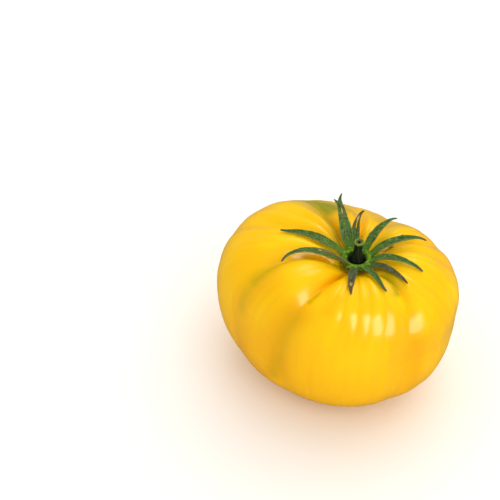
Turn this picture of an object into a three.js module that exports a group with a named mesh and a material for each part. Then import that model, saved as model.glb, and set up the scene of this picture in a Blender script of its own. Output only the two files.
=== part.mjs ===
// A ribbed yellow beefsteak tomato, picked with its green calyx and a short stub of stem.
// Millimetres, +Z up. The tomato rests on the small flat spot round its blossom scar, and the
// origin is under the middle of its box, on the surface that it rests on.

import * as THREE from 'three';
import { mergeVertices } from 'three/addons/utils/BufferGeometryUtils.js';

// Driving dimensions of the fruit. An azimuth is in degrees, counted from +X towards +Y.
const WAIST_RADIUS = 47.9; // mean radius at the widest level, on the crests of the ribs
const WAIST_HEIGHT = 39.6; // the widest level
const WAIST_OVAL = 3.3; // what the long half-axis gains and the short one loses
const OVAL_AZIMUTH = 136;
const CROWN_HEIGHT = 68.6; // top of the fruit, before the dimple is sunk in it
const CROWN_LEAN = 5.8; // how far the shoulder rises on its high side and falls on its low side
const LOW_SIDE_AZIMUTH = 50;
const CROWN_FULLNESS = 2.65; // superellipse exponent above the waist, where 2 is an ellipse
const BASE_FULLNESS = 2.33; // and below it
const STEM_END = { x: 7.3, y: -8 }; // where the stem sits, off the middle of the waist
const OFFSET_EASE = 1.25; // exponent with which the rings shift towards it, above 1 for a smooth waist
const DIMPLE_DEPTH = 11.7;
const DIMPLE_RADIUS = 13;
const FOOT_RADIUS = 14;
const SCAR_RADIUS = 4;
const SCAR_DEPTH = 1;

// The furrows between the ribs. Each starts at an azimuth beside the stem and has drifted round by
// the waist. Its depth in millimetres and its half-width in degrees are those at the shoulder, and
// waist is the share of the depth that is left at the waist.
const FURROWS = [
  { azimuth: -121, drift: 0, depth: 6.5, width: 9, waist: 0.32 },
  { azimuth: -175, drift: 18, depth: 7.5, width: 9, waist: 0.22 },
  { azimuth: 146, drift: 6, depth: 3.5, width: 8, waist: 0.3 },
  { azimuth: 131, drift: 0, depth: 1.5, width: 6, waist: 0.3 },
  { azimuth: 112, drift: -7, depth: 6.5, width: 9, waist: 0.12 },
  { azimuth: 78, drift: 0, depth: 4, width: 7, waist: 0.2 },
  { azimuth: 55, drift: 3, depth: 4, width: 8, waist: 0.2 },
  { azimuth: 19, drift: 0, depth: 4.5, width: 7, waist: 0.2 },
  { azimuth: 5, drift: -6, depth: 2.5, width: 8, waist: 0.3 },
  { azimuth: -31, drift: -6, depth: 2.5, width: 8, waist: 0.3 },
  { azimuth: -52, drift: -8, depth: 4, width: 8, waist: 0.35 },
  { azimuth: -71, drift: -2, depth: 1.5, width: 5, waist: 0.3 },
  { azimuth: -82, drift: 0, depth: 1.2, width: 4, waist: 0.2 },
  { azimuth: -91, drift: 3, depth: 1.4, width: 5, waist: 0.3 },
  { azimuth: -100, drift: 4, depth: 1.3, width: 4, waist: 0.2 },
];
const FURROW_EDGE = 1.3; // exponent of a furrow's section, where 1 is a sharp V and 2 a round valley
const FURROW_SPREAD = 1.6; // how much wider, in degrees, a furrow is at the waist
const FURROW_DRIFT = [20, 66]; // polar angles, from the stem, between which the furrows drift
const FURROW_START = [2, 16]; // between which they deepen
const FURROW_WAIST = [22, 80]; // where they shallow to their waist depth
const FURROW_END = [95, 165]; // and where they run out

// The stem and the cup that it stands in, which is the calyx's fleshy ring.
const CUP_RADIUS = 6.6;
const CUP_HEIGHT = 4.4;
const CUP_FOOT_RADIUS = 3.4;
const CUP_HOLLOW_RADIUS = 4.6;
const CUP_HOLLOW_DEPTH = 2.4;
const STEM_LENGTH = 9.8;
const STEM_BASE_RADIUS = 2.3;
const STEM_TOP_RADIUS = 1.85;
const STEM_LEAN = 0.5; // how far the top has moved towards +X
const PITH_RADIUS = 0.7;
const PITH_DEPTH = 1.2;

// The sepals. root is the azimuth at the cup. mid and tip are places on the midrib: an azimuth and
// a distance from the stem, and a height above the cup's rim. roll tips the blade on its side.
const SEPALS = [
  { name: 'sepal_back_left', root: 150, mid: [153, 19.5, 3.5], tip: [158, 32, 2.5], width: 4.2, roll: 0 },
  { name: 'sepal_back_tall', root: 118, mid: [110, 14, 7], tip: [107, 23.5, 13], width: 5.2, roll: 0 },
  { name: 'sepal_back_split', root: 88, mid: [88, 14, 4], tip: [80, 19, 7.8], width: 2.8, roll: 0 },
  { name: 'sepal_back_right', root: 52, mid: [48, 14, 5.5], tip: [44, 22.5, 6.4], width: 3.8, roll: 0 },
  { name: 'sepal_right_long', root: 18, mid: [13, 16, 6.2], tip: [12, 28, 3.8], width: 4.4, roll: 0 },
  { name: 'sepal_right_drooping', root: -19, mid: [-20, 15, 4.5], tip: [-23, 27, 2.1], width: 3.8, roll: 0 },
  { name: 'sepal_right_dark', root: -46, mid: [-40, 15.5, 2.9], tip: [-46, 26, 3.1], width: 3.2, roll: 0 },
  { name: 'sepal_front_slender', root: -74, mid: [-70, 15.5, 3.7], tip: [-70, 26, 4.1], width: 2.8, roll: 0 },
  { name: 'sepal_front_short', root: -101, mid: [-101, 17, 3.5], tip: [-99, 26, 4.5], width: 3.4, roll: 0 },
  { name: 'sepal_left_curled', root: -128, mid: [-152, 10.5, 4.6], tip: [-163, 16.5, 8], width: 2.2, roll: 60 },
  { name: 'sepal_left_drooping', root: -158, mid: [-173, 19.5, 5.1], tip: [-167, 31, 4.5], width: 4, roll: 0 },
];
const SEPAL_ROOT_WIDTH = 2.9;
const SEPAL_ROOT_DROP = 1.3; // how far below the cup's rim the blades start
const SEPAL_NECK = 0.2; // the share of the length in which a blade leaves the cup squarely
const SEPAL_BROADEST = 0.3; // and the share at which it is broadest
const SEPAL_TIP_WIDTH = 0.7;
const SEPAL_THICKNESS = 0.8;
const SEPAL_KEEL = 0.5; // how far the margins stand above the midrib

const CLEARANCE = 0.3; // between pieces that touch
const SEPAL_CLEARANCE = 0.5; // between a sepal and the skin under it

// Fineness of the meshes
const RIB_SEGMENTS = 96;
const RINGS = 25;
const ROUND_SEGMENTS = 24;
const SEPAL_STEPS = 14;
const SEPAL_COLUMNS = 4;

const { smoothstep, lerp, degToRad } = THREE.MathUtils;

function share(angle, [from, to]) {
  return smoothstep(angle, from, to);
}

// Closes a mesh: joins vertices that lie together and drops the triangles that have no area.
function closed(geometry) {
  geometry.deleteAttribute('normal');
  geometry.deleteAttribute('uv');
  const merged = mergeVertices(geometry, 1e-4);
  const index = merged.index.array;
  const kept = [];
  for (let i = 0; i < index.length; i += 3) {
    const [a, b, c] = [index[i], index[i + 1], index[i + 2]];
    if (a !== b && b !== c && c !== a) kept.push(a, b, c);
  }
  merged.setIndex(kept);
  merged.computeVertexNormals();
  return merged;
}

// Moves each vertex of a geometry to the point that place gives for its uv or position.
function moved(geometry, attribute, place) {
  const source = geometry.attributes[attribute];
  const position = geometry.attributes.position;
  const from = new THREE.Vector3();
  for (let i = 0; i < position.count; i += 1) {
    from.set(source.getX(i), source.getY(i), source.itemSize > 2 ? source.getZ(i) : 0);
    const to = place(from);
    position.setXYZ(i, to.x, to.y, to.z);
  }
  return geometry;
}

// Makes the lean's greatest value over the shoulder, the peak of sin^2 times cos, equal to one.
const LEAN_SCALE = (3 * Math.sqrt(3)) / 2;

function waistRadius(azimuth) {
  return WAIST_RADIUS + WAIST_OVAL * Math.cos(2 * (azimuth - degToRad(OVAL_AZIMUTH)));
}

function furrowDepth(polar, azimuth) {
  const angle = THREE.MathUtils.radToDeg(polar);
  const toWaist = share(angle, FURROW_WAIST);
  const spread = lerp(1, FURROW_SPREAD, toWaist);
  const strength = share(angle, FURROW_START) * (1 - share(angle, FURROW_END));
  let depth = 0;
  for (const furrow of FURROWS) {
    const line = furrow.azimuth + furrow.drift * share(angle, FURROW_DRIFT);
    const away = THREE.MathUtils.euclideanModulo(THREE.MathUtils.radToDeg(azimuth) - line + 180, 360) - 180;
    const section = Math.exp(-((Math.abs(away) / (furrow.width * spread)) ** FURROW_EDGE));
    depth += furrow.depth * lerp(1, furrow.waist, toWaist) * section;
  }
  return depth * strength;
}

// A point of the skin. polar runs from 0 at the stem to pi at the foot's edge.
function skinPoint(polar, azimuth) {
  const sine = Math.sin(polar);
  const rise = Math.abs(Math.cos(polar));
  const waist = waistRadius(azimuth);
  const point = new THREE.Vector3();
  if (polar < Math.PI / 2) {
    const radius = waist * sine ** (2 / CROWN_FULLNESS);
    const lean = CROWN_LEAN * LEAN_SCALE * sine ** 2 * rise * Math.cos(azimuth - degToRad(LOW_SIDE_AZIMUTH));
    const dimple = DIMPLE_DEPTH * Math.exp(-((radius / DIMPLE_RADIUS) ** 2));
    const shift = rise ** OFFSET_EASE;
    point.set(STEM_END.x * shift, STEM_END.y * shift, 0);
    point.x += radius * Math.cos(azimuth);
    point.y += radius * Math.sin(azimuth);
    point.z = lerp(WAIST_HEIGHT, CROWN_HEIGHT, rise ** (2 / CROWN_FULLNESS)) - lean - dimple;
  } else {
    const radius = lerp(FOOT_RADIUS, waist, sine ** (2 / BASE_FULLNESS));
    point.set(radius * Math.cos(azimuth), radius * Math.sin(azimuth), 0);
    point.z = WAIST_HEIGHT * (1 - rise ** (2 / BASE_FULLNESS));
  }
  const core = new THREE.Vector3(STEM_END.x / 2, STEM_END.y / 2, CROWN_HEIGHT / 2);
  const inwards = core.sub(point).normalize();
  return point.addScaledVector(inwards, furrowDepth(polar, azimuth));
}

// The fruit is a lathe's net of rings and ribs, laid over the skin. Its last two rings are the
// blossom scar's edge and its middle, inside the flat foot.
function fruitGeometry() {
  const rows = RINGS + 3;
  const net = new THREE.LatheGeometry(Array.from({ length: rows }, () => new THREE.Vector2(1, 0)), RIB_SEGMENTS);
  moved(net, 'uv', (uv) => {
    const azimuth = -2 * Math.PI * uv.x;
    const row = Math.round(uv.y * (rows - 1));
    if (row <= RINGS) return skinPoint((Math.PI * row) / RINGS, azimuth);
    const radius = row === RINGS + 1 ? SCAR_RADIUS : 0;
    return new THREE.Vector3(radius * Math.cos(azimuth), radius * Math.sin(azimuth), radius ? 0 : SCAR_DEPTH);
  });
  return closed(net);
}

function turned(outline) {
  const points = outline.map(([radius, height]) => new THREE.Vector2(radius, height));
  return closed(new THREE.LatheGeometry(points, ROUND_SEGMENTS).rotateX(Math.PI / 2));
}

// The cup's section, out along the underside, over the lip and down into the hollow.
function cupOutline() {
  const floor = CUP_HEIGHT - CUP_HOLLOW_DEPTH;
  return [
    [0, 0],
    [CUP_FOOT_RADIUS, 0],
    [lerp(CUP_FOOT_RADIUS, CUP_RADIUS, 0.7), CUP_HEIGHT * 0.3],
    [CUP_RADIUS, CUP_HEIGHT * 0.6],
    [CUP_RADIUS, CUP_HEIGHT * 0.85],
    [lerp(CUP_HOLLOW_RADIUS, CUP_RADIUS, 0.5), CUP_HEIGHT],
    [CUP_HOLLOW_RADIUS, CUP_HEIGHT * 0.85],
    [CUP_HOLLOW_RADIUS * 0.8, floor],
    [0, floor],
  ];
}

function stemGeometry() {
  const stem = turned([
    [0, 0],
    [STEM_BASE_RADIUS, 0],
    [lerp(STEM_BASE_RADIUS, STEM_TOP_RADIUS, 0.7), STEM_LENGTH * 0.3],
    [STEM_TOP_RADIUS * 0.95, STEM_LENGTH * 0.7],
    [STEM_TOP_RADIUS, STEM_LENGTH * 0.94],
    [STEM_TOP_RADIUS * 0.85, STEM_LENGTH],
    [PITH_RADIUS, STEM_LENGTH],
    [PITH_RADIUS * 0.8, STEM_LENGTH - PITH_DEPTH],
    [0, STEM_LENGTH - PITH_DEPTH],
  ]);
  return moved(stem, 'position', ({ x, y, z }) => new THREE.Vector3(x + STEM_LEAN * (z / STEM_LENGTH) ** 2, y, z));
}

function inDirection(azimuth, radius) {
  const angle = degToRad(azimuth);
  return new THREE.Vector3(radius * Math.cos(angle), radius * Math.sin(angle), 0);
}

// The height of a fruit's skin over a place on the ground plan.
function skinUnder(fruit) {
  const ray = new THREE.Raycaster();
  const down = new THREE.Vector3(0, 0, -1);
  return (x, y) => {
    ray.set(new THREE.Vector3(x, y, 2 * CROWN_HEIGHT), down);
    return ray.intersectObject(fruit)[0]?.point.z ?? 0;
  };
}

// The lowest level at which a turned piece clears the skin under every part of its outline.
function seatHeight(outline, middle, skinHeight) {
  let seat = 0;
  for (const [radius, height] of outline) {
    for (let step = 0; step < ROUND_SEGMENTS; step += 1) {
      const edge = inDirection((360 * step) / ROUND_SEGMENTS, radius).add(middle);
      seat = Math.max(seat, skinHeight(edge.x, edge.y) - height);
    }
  }
  return seat;
}

// A sepal is a tapering blade, a subdivided box bent along its midrib. Its midrib never comes
// nearer to the skin than the clearance.
function sepalGeometry(sepal, stemEnd, rimHeight, skinHeight) {
  const place = ([azimuth, reach, height]) => inDirection(azimuth, reach).add(stemEnd).setZ(rimHeight + height);
  const outwards = inDirection(sepal.root, 1);
  const root = place([sepal.root, CUP_RADIUS + CLEARANCE, -SEPAL_ROOT_DROP]);
  const tip = place(sepal.tip);
  const bend = place(sepal.mid).multiplyScalar(2).addScaledVector(root, -0.5).addScaledVector(tip, -0.5);
  const midrib = new THREE.QuadraticBezierCurve3(root, bend, tip);
  const blade = new THREE.BoxGeometry(1, 1, 1, SEPAL_STEPS, SEPAL_COLUMNS, 1);
  return closed(moved(blade, 'position', (at) => {
    const along = at.x + 0.5;
    const point = midrib.getPoint(along);
    const heading = outwards.clone().lerp(midrib.getTangent(along), smoothstep(along, 0, SEPAL_NECK)).normalize();
    const side = new THREE.Vector3(-heading.y, heading.x, 0).normalize();
    side.applyAxisAngle(heading, degToRad(sepal.roll) * smoothstep(along, 0, 0.3));
    const up = new THREE.Vector3().crossVectors(heading, side);
    const rootWidth = Math.min(SEPAL_ROOT_WIDTH, sepal.width);
    const width = along < SEPAL_BROADEST
      ? lerp(rootWidth, sepal.width, smoothstep(along, 0, SEPAL_BROADEST))
      : lerp(sepal.width, SEPAL_TIP_WIDTH, ((along - SEPAL_BROADEST) / (1 - SEPAL_BROADEST)) ** 1.4);
    const skin = Math.max(...[-0.5, 0, 0.5].map((across) => {
      const under = point.clone().addScaledVector(side, across * width);
      return skinHeight(under.x, under.y);
    }));
    point.z = Math.max(point.z, skin + SEPAL_CLEARANCE + SEPAL_THICKNESS / 2);
    point.addScaledVector(side, at.y * width);
    const keel = SEPAL_KEEL * 4 * at.y * at.y * (width / sepal.width);
    return point.addScaledVector(up, keel + at.z * SEPAL_THICKNESS);
  }));
}

function piece(name, geometry, material) {
  const mesh = new THREE.Mesh(geometry, new THREE.MeshStandardMaterial({ metalness: 0, ...material }));
  mesh.name = name;
  return mesh;
}

const tomato = new THREE.Group();

const fruit = piece('fruit', fruitGeometry(), { color: 0xf8be05, roughness: 0.28 });
tomato.add(fruit);

const skinHeight = skinUnder(fruit);
const stemEnd = new THREE.Vector3(STEM_END.x, STEM_END.y, 0);

const cup = piece('calyx_cup', turned(cupOutline()), { color: 0x5a7a1c, roughness: 0.75 });
cup.position.copy(stemEnd).setZ(seatHeight(cupOutline(), stemEnd, skinHeight) + CLEARANCE);
tomato.add(cup);

const stem = piece('stem', stemGeometry(), { color: 0x2f4708, roughness: 0.7 });
stem.position.copy(cup.position);
stem.position.z += CUP_HEIGHT - CUP_HOLLOW_DEPTH + CLEARANCE;
tomato.add(stem);

const rimHeight = cup.position.z + CUP_HEIGHT;
for (const sepal of SEPALS) {
  const geometry = sepalGeometry(sepal, stemEnd, rimHeight, skinHeight);
  tomato.add(piece(sepal.name, geometry, { color: 0x4f6e28, roughness: 0.7 }));
}

// Puts the origin under the middle of the tomato's box.
const box = new THREE.Box3().setFromObject(tomato);
const middle = box.getCenter(new THREE.Vector3());
tomato.position.set(-middle.x, -middle.y, -box.min.z);

export default tomato;
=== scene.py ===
"""Dresses a ribbed yellow beefsteak tomato, its calyx and its cut stem, and lights them softly.

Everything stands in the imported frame: metres, +Z up, resting on the level z = 0. The tables below
give lengths in millimetres and angles in degrees, and MM turns a length into metres where a mesh is
made. An azimuth is counted from +X towards +Y, and a polar angle from the stem down to the foot.
"""

import logging
import math
from dataclasses import dataclass
from enum import Enum
from typing import Union

import bmesh
import bpy
import numpy as np
from mathutils import Matrix, Quaternion, Vector, noise
from mathutils.bvhtree import BVHTree


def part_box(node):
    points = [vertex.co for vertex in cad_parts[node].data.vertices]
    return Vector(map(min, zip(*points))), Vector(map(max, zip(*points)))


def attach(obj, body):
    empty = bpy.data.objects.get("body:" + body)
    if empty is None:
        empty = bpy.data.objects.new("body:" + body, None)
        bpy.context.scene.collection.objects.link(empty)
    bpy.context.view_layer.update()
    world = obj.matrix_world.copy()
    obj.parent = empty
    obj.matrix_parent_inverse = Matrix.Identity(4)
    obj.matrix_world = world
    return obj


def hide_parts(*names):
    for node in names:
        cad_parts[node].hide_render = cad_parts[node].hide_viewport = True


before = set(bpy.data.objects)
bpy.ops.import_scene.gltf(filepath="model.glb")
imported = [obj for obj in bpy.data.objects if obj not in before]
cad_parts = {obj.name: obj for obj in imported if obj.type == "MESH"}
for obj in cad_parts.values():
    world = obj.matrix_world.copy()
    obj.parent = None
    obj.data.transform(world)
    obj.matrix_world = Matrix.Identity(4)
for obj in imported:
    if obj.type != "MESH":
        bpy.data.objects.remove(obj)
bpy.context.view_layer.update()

MM = 0.001
BODY = "root"
UP = Vector((0, 0, 1))

Span = tuple[float, float]
Triple = tuple[float, float, float]
Colour = Triple
log = logging.getLogger("tomato")


def colour(red: int, green: int, blue: int) -> Colour:
    """Turns a screen colour of 0 to 255 a channel into the linear colour that a shader takes."""
    return tuple(
        channel / 255 / 12.92 if channel <= 10 else ((channel / 255 + 0.055) / 1.055) ** 2.4
        for channel in (red, green, blue)
    )


def eased(value: Union[np.ndarray, float], span: Span) -> Union[np.ndarray, float]:
    """Rises smoothly from 0 to 1 as the value crosses a span.

    Args:
        value: the number or numbers to ease.
        span: where the rise starts and ends.

    Returns:
        The eased share of each.
    """
    share = np.clip((value - span[0]) / (span[1] - span[0]), 0.0, 1.0)
    return share * share * (3 - 2 * share)


def turned_to(degrees: np.ndarray) -> np.ndarray:
    """Brings angles in degrees into the half-open turn from -180 to 180."""
    return (degrees + 180) % 360 - 180


def heading(azimuth: float) -> Vector:
    """Points level along an azimuth given in degrees."""
    angle = math.radians(azimuth)
    return Vector((math.cos(angle), math.sin(angle), 0))


def put(name: str, data: bpy.types.ID) -> bpy.types.Object:
    """Puts an object with this data, such as a mesh, into the scene."""
    thing = bpy.data.objects.new(name, data)
    bpy.context.scene.collection.objects.link(thing)
    return thing


# ---- Shader nodes ----


class Wire:
    """A number on its way between shader nodes. Arithmetic on it adds Math nodes."""

    def __init__(self, graph: "Graph", socket: bpy.types.NodeSocket) -> None:
        """Holds an output socket of a graph's node."""
        self.graph = graph
        self.socket = socket

    def _math(self, operation: str, *values: "Number") -> "Wire":
        """Adds one Math node, which takes these values in order, and gives its result."""
        node = self.graph.add("ShaderNodeMath", {"operation": operation}, dict(enumerate(values)))
        return Wire(self.graph, node.outputs[0])

    def __add__(self, other: "Number") -> "Wire":
        """Adds a number."""
        return self._math("ADD", self, other)

    def __sub__(self, other: "Number") -> "Wire":
        """Takes a number away."""
        return self._math("SUBTRACT", self, other)

    def __rsub__(self, other: "Number") -> "Wire":
        """Is taken away from a number."""
        return self._math("SUBTRACT", other, self)

    def __mul__(self, other: "Number") -> "Wire":
        """Multiplies by a number."""
        return self._math("MULTIPLY", self, other)

    def __pow__(self, exponent: "Number") -> "Wire":
        """Raises to a power."""
        return self._math("POWER", self, exponent)

    def __abs__(self) -> "Wire":
        """Drops the sign."""
        return self._math("ABSOLUTE", self)

    __radd__ = __add__
    __rmul__ = __mul__

    def over(self, low: float, high: float) -> "Wire":
        """Rises smoothly from 0 to 1 as the number goes from low to high, or falls if high is lower.

        Args:
            low: the value that gives 0.
            high: the value that gives 1.

        Returns:
            The eased share.
        """
        first, last, start, end = (low, high, 0.0, 1.0) if low < high else (high, low, 1.0, 0.0)
        node = self.graph.add(
            "ShaderNodeMapRange",
            {"interpolation_type": "SMOOTHSTEP"},
            {"Value": self, "From Min": first, "From Max": last, "To Min": start, "To Max": end},
        )
        return Wire(self.graph, node.outputs[0])


Number = Union[Wire, float]
Shade = Union[bpy.types.NodeSocket, Colour]


class Graph:
    """The nodes of one material, or of the world."""

    def __init__(self, owner: Union[bpy.types.Material, bpy.types.World]) -> None:
        """Starts with no nodes in a new material or world."""
        self.owner = owner
        self.owner.use_nodes = True
        self.tree = self.owner.node_tree
        self.tree.nodes.clear()

    def add(self, kind: str, settings: dict | None = None, inputs: dict | None = None) -> bpy.types.Node:
        """Adds a node, the only way in which this script adds one.

        Args:
            kind: the node's type.
            settings: the node's own settings, which are set first.
            inputs: its sockets, by name or number, each with a value, a Wire or a socket.

        Returns:
            The new node.
        """
        node = self.tree.nodes.new(kind)
        for name, value in (settings or {}).items():
            setattr(node, name, value)
        for name, value in (inputs or {}).items():
            socket = node.inputs[name]
            value = value.socket if isinstance(value, Wire) else value
            if isinstance(value, bpy.types.NodeSocket):
                self.tree.links.new(value, socket)
            elif socket.type == "RGBA":
                socket.default_value = (*value, 1.0)
            else:
                socket.default_value = value
        return node

    def number(self, attribute: str) -> Wire:
        """Reads a number that is stored on the mesh."""
        return Wire(self, self.add("ShaderNodeAttribute", {"attribute_name": attribute}).outputs["Fac"])

    def mirrored(self) -> Wire:
        """Tells what is seen in a glossy surface, at 1, from what is seen straight, at 0."""
        return Wire(self, self.add("ShaderNodeLightPath").outputs["Is Glossy Ray"])

    def place(self, attribute: str | None = None, scale: Triple = (1, 1, 1)) -> bpy.types.NodeSocket:
        """Gives the place at which a pattern is read.

        Args:
            attribute: a vector stored on the mesh, or None for the object's own coordinates.
            scale: how many times the pattern repeats in a unit, along each axis.

        Returns:
            The scaled vector's socket.
        """
        if attribute:
            source = self.add("ShaderNodeAttribute", {"attribute_name": attribute}).outputs["Vector"]
        else:
            source = self.add("ShaderNodeTexCoord").outputs["Object"]
        node = self.add("ShaderNodeVectorMath", {"operation": "MULTIPLY"}, {0: source, 1: scale})
        return node.outputs[0]

    def cloud(self, place: bpy.types.NodeSocket, scale: float, detail: float = 2.0) -> Wire:
        """Adds smooth noise.

        Args:
            place: where the noise is read.
            scale: its fineness.
            detail: how many finer layers it has.

        Returns:
            A number about 0.5.
        """
        node = self.add("ShaderNodeTexNoise", {}, {"Vector": place, "Scale": scale, "Detail": detail})
        return Wire(self, node.outputs[0])

    def blend(self, share: Number, under: Shade, over: Shade) -> bpy.types.NodeSocket:
        """Mixes two colours.

        Args:
            share: how much of the upper colour shows, from 0 to 1.
            under: the colour where the share is 0.
            over: the colour where the share is 1.

        Returns:
            The mixed colour's socket.
        """
        settings = {"data_type": "RGBA", "clamp_factor": True}
        return self.add("ShaderNodeMix", settings, {0: share, 6: under, 7: over}).outputs[2]

    def bump(self, height: Number, distance: float) -> bpy.types.NodeSocket:
        """Gives the normal for a height that is a share of the distance, which is in metres."""
        return self.add("ShaderNodeBump", {}, {"Height": height, "Distance": distance}).outputs[0]

    def surface(self, inputs: dict) -> bpy.types.Material:
        """Ends the graph in a Principled shader with these inputs and gives the finished material."""
        shader = self.add("ShaderNodeBsdfPrincipled", {}, inputs)
        self.add("ShaderNodeOutputMaterial", {}, {"Surface": shader.outputs[0]})
        return self.owner


# ---- Finishes ----


@dataclass(frozen=True)
class SkinFinish:
    """Ripe golden skin, waxy and smooth, with green shoulders, corky specks by the calyx, and painted shade,
    a deeper amber, in its furrows and valleys.

    Streaks and flecks are drawn out down the fruit: their fineness is given round it, twice, and
    down it. That of drift and speckle is a count to the metre.
    """

    golden: Colour = colour(249, 187, 0)
    lemon: Colour = colour(254, 204, 0)
    # Painted shade: the deeper amber that the furrows and valleys are darkened to.
    painted_shade_amber: Colour = colour(228, 150, 0)
    base: Colour = colour(248, 184, 0)
    olive: Colour = colour(150, 146, 0)
    cork: Colour = colour(84, 46, 10)
    roughness: float = 0.25
    wax_roughness: float = 0.16
    glow: float = 0.12
    glow_depth: float = 2.2
    bump_depth: float = 0.06
    streaks: Triple = (15, 15, 1.8)
    flecks: Triple = (60, 60, 16)
    drift: float = 34.0
    speckle: float = 1700.0

    def material(self) -> bpy.types.Material:
        """Builds the skin's material, which reads the numbers that the fruit stores on its mesh."""
        graph = Graph(bpy.data.materials.new("tomato_skin"))
        streaks = graph.cloud(graph.place("meridian", self.streaks), 1.0, 1.0)
        drift = graph.cloud(graph.place(), self.drift, 1.5)
        speckle = graph.cloud(graph.place(), self.speckle, 1.0)
        patch = (drift * 0.7 + streaks * 0.3).over(0.34, 0.66)
        skin = graph.blend(patch, self.golden, self.lemon)
        skin = graph.blend(graph.number("low") * 0.8, skin, self.base)
        # Painted shade: the deeper the furrow, the more amber the skin.
        skin = graph.blend((graph.number("furrow") ** 1.3) * (0.25 + 0.45 * streaks), skin, self.painted_shade_amber)
        # Painted shade: amber in the patches along the valleys and below the waist.
        skin = graph.blend(graph.number("painted_shade_amber") * (0.5 + 0.9 * drift), skin, self.painted_shade_amber)
        skin = graph.blend(graph.number("green") * (0.45 + 1.0 * streaks), skin, self.olive)
        skin = graph.blend((speckle - 0.62) * 1.1, skin, self.lemon)
        flecks = graph.cloud(graph.place("meridian", self.flecks), 1.0, 4.0)
        corky = graph.number("cork") * flecks.over(0.5, 0.62)
        skin = graph.blend(corky, skin, self.cork)
        return graph.surface({
            "Base Color": skin,
            "Roughness": self.roughness + 0.05 * drift + 0.4 * corky,
            "IOR": 1.2,
            "Coat Weight": 0.2 * (1 - corky),
            "Coat Roughness": self.wax_roughness,
            "Subsurface Weight": self.glow,
            "Subsurface Radius": (1.0, 0.45, 0.05),
            "Subsurface Scale": self.glow_depth * MM,
            "Normal": graph.bump(speckle * 0.25 + streaks * 0.12 + corky * 3.0, self.bump_depth * MM),
        })


@dataclass(frozen=True)
class LeafFinish:
    """A sepal's downy leaf, streaked along its veins, with a greyish tip and dried patches."""

    name: str
    body: Colour = colour(68, 102, 32)
    dark: Colour = colour(28, 48, 12)
    root: Colour = colour(80, 126, 14)
    vein: Colour = colour(124, 150, 76)
    tip: Colour = colour(74, 80, 62)
    dry: Colour = colour(196, 178, 98)
    brown: Colour = colour(96, 78, 44)

    def material(self) -> bpy.types.Material:
        """Builds the leaf's material, which reads the places that the blade stores on its mesh."""
        graph = Graph(bpy.data.materials.new(self.name))
        along, across = graph.number("along"), graph.number("across")
        fibres = graph.cloud(graph.place("blade", (3, 2.2, 1)), 1.0, 3.0)
        mottle = graph.cloud(graph.place(), 900.0, 3.0)
        leaf = graph.blend(fibres.over(0.38, 0.58), self.dark, self.body)
        leaf = graph.blend(mottle.over(0.46, 0.72) * 0.6, leaf, self.vein)
        veins = graph.number("vein")
        leaf = graph.blend(veins * 0.45, leaf, self.vein)
        leaf = graph.blend(abs(across).over(0.72, 1.0) * 0.4, leaf, self.vein)
        leaf = graph.blend(along.over(0.3, 0.02) * 0.75, leaf, self.root)
        leaf = graph.blend(along.over(0.8, 1.0) * 0.85, leaf, self.tip)
        dry = graph.number("dry")
        leaf = graph.blend((dry * 2.0) * (0.6 + 0.5 * mottle), leaf, self.brown)
        leaf = graph.blend(dry.over(0.45, 0.9), leaf, self.dry)
        return graph.surface({
            "Base Color": leaf,
            "Roughness": 0.62 + 0.2 * mottle,
            "IOR": 1.22,
            "Subsurface Weight": 0.1,
            "Subsurface Radius": (0.4, 1.0, 0.2),
            "Subsurface Scale": 0.5 * MM,
            "Sheen Weight": 0.03,
            "Sheen Roughness": 0.5,
            "Normal": graph.bump(mottle * 0.6 + veins * 0.6 + fibres * 0.5, 0.16 * MM),
        })


@dataclass(frozen=True)
class CupFinish:
    """The calyx's fleshy ring, bright on its lip, with painted shade, nearly black, down in its hollow."""

    bright: Colour = colour(124, 164, 34)
    body: Colour = colour(66, 104, 12)
    # Painted shade: the near-black laid down in the hollow.
    hollow_shade: Colour = colour(5, 12, 0)

    def material(self) -> bpy.types.Material:
        """Builds the ring's material."""
        graph = Graph(bpy.data.materials.new("calyx_ring"))
        mottle = graph.cloud(graph.place(), 800.0, 3.0)
        coarse = graph.cloud(graph.place(), 260.0, 2.0)
        green = graph.blend(mottle.over(0.35, 0.66), self.body, self.bright)
        green = graph.blend(coarse.over(0.6, 0.35) * 0.6, green, self.body)
        green = graph.blend(graph.number("hollow_shade"), green, self.hollow_shade)
        return graph.surface({
            "Base Color": green,
            "Roughness": 0.62 + 0.25 * mottle,
            "IOR": 1.2,
            "Sheen Weight": 0.03,
            "Normal": graph.bump(mottle + coarse, 0.4 * MM),
        })


@dataclass(frozen=True)
class StemFinish:
    """Dark ribbed stem with a paler corky collar and cut end round a sunken pith, whose pit is darkened with
    painted shade.
    """

    body: Colour = colour(36, 54, 6)
    dark: Colour = colour(14, 24, 1)
    collar: Colour = colour(122, 136, 54)
    cut: Colour = colour(88, 100, 26)
    # Painted shade: the dark laid in the sunken pith's pit.
    pith_pit_shade: Colour = colour(24, 32, 6)

    def material(self) -> bpy.types.Material:
        """Builds the stem's material."""
        graph = Graph(bpy.data.materials.new("stem_bark"))
        grain = graph.cloud(graph.place(None, (1.0, 1.0, 0.22)), 1500.0, 3.0)
        mottle = graph.cloud(graph.place(), 900.0, 2.0)
        bark = graph.blend(grain.over(0.36, 0.66), self.dark, self.body)
        bark = graph.blend(graph.number("height").over(0.7, 0.2) * 0.6, bark, self.dark)
        bark = graph.blend(graph.number("cut") * (0.6 + 0.5 * mottle), bark, self.cut)
        bark = graph.blend(graph.number("collar") * (0.7 + 0.4 * mottle), bark, self.collar)
        bark = graph.blend(graph.number("pith_pit_shade"), bark, self.pith_pit_shade)
        return graph.surface({
            "Base Color": bark,
            "Roughness": 0.5 + 0.3 * grain,
            "IOR": 1.25,
            "Normal": graph.bump(grain + mottle * 0.5, 0.2 * MM),
        })


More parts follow.
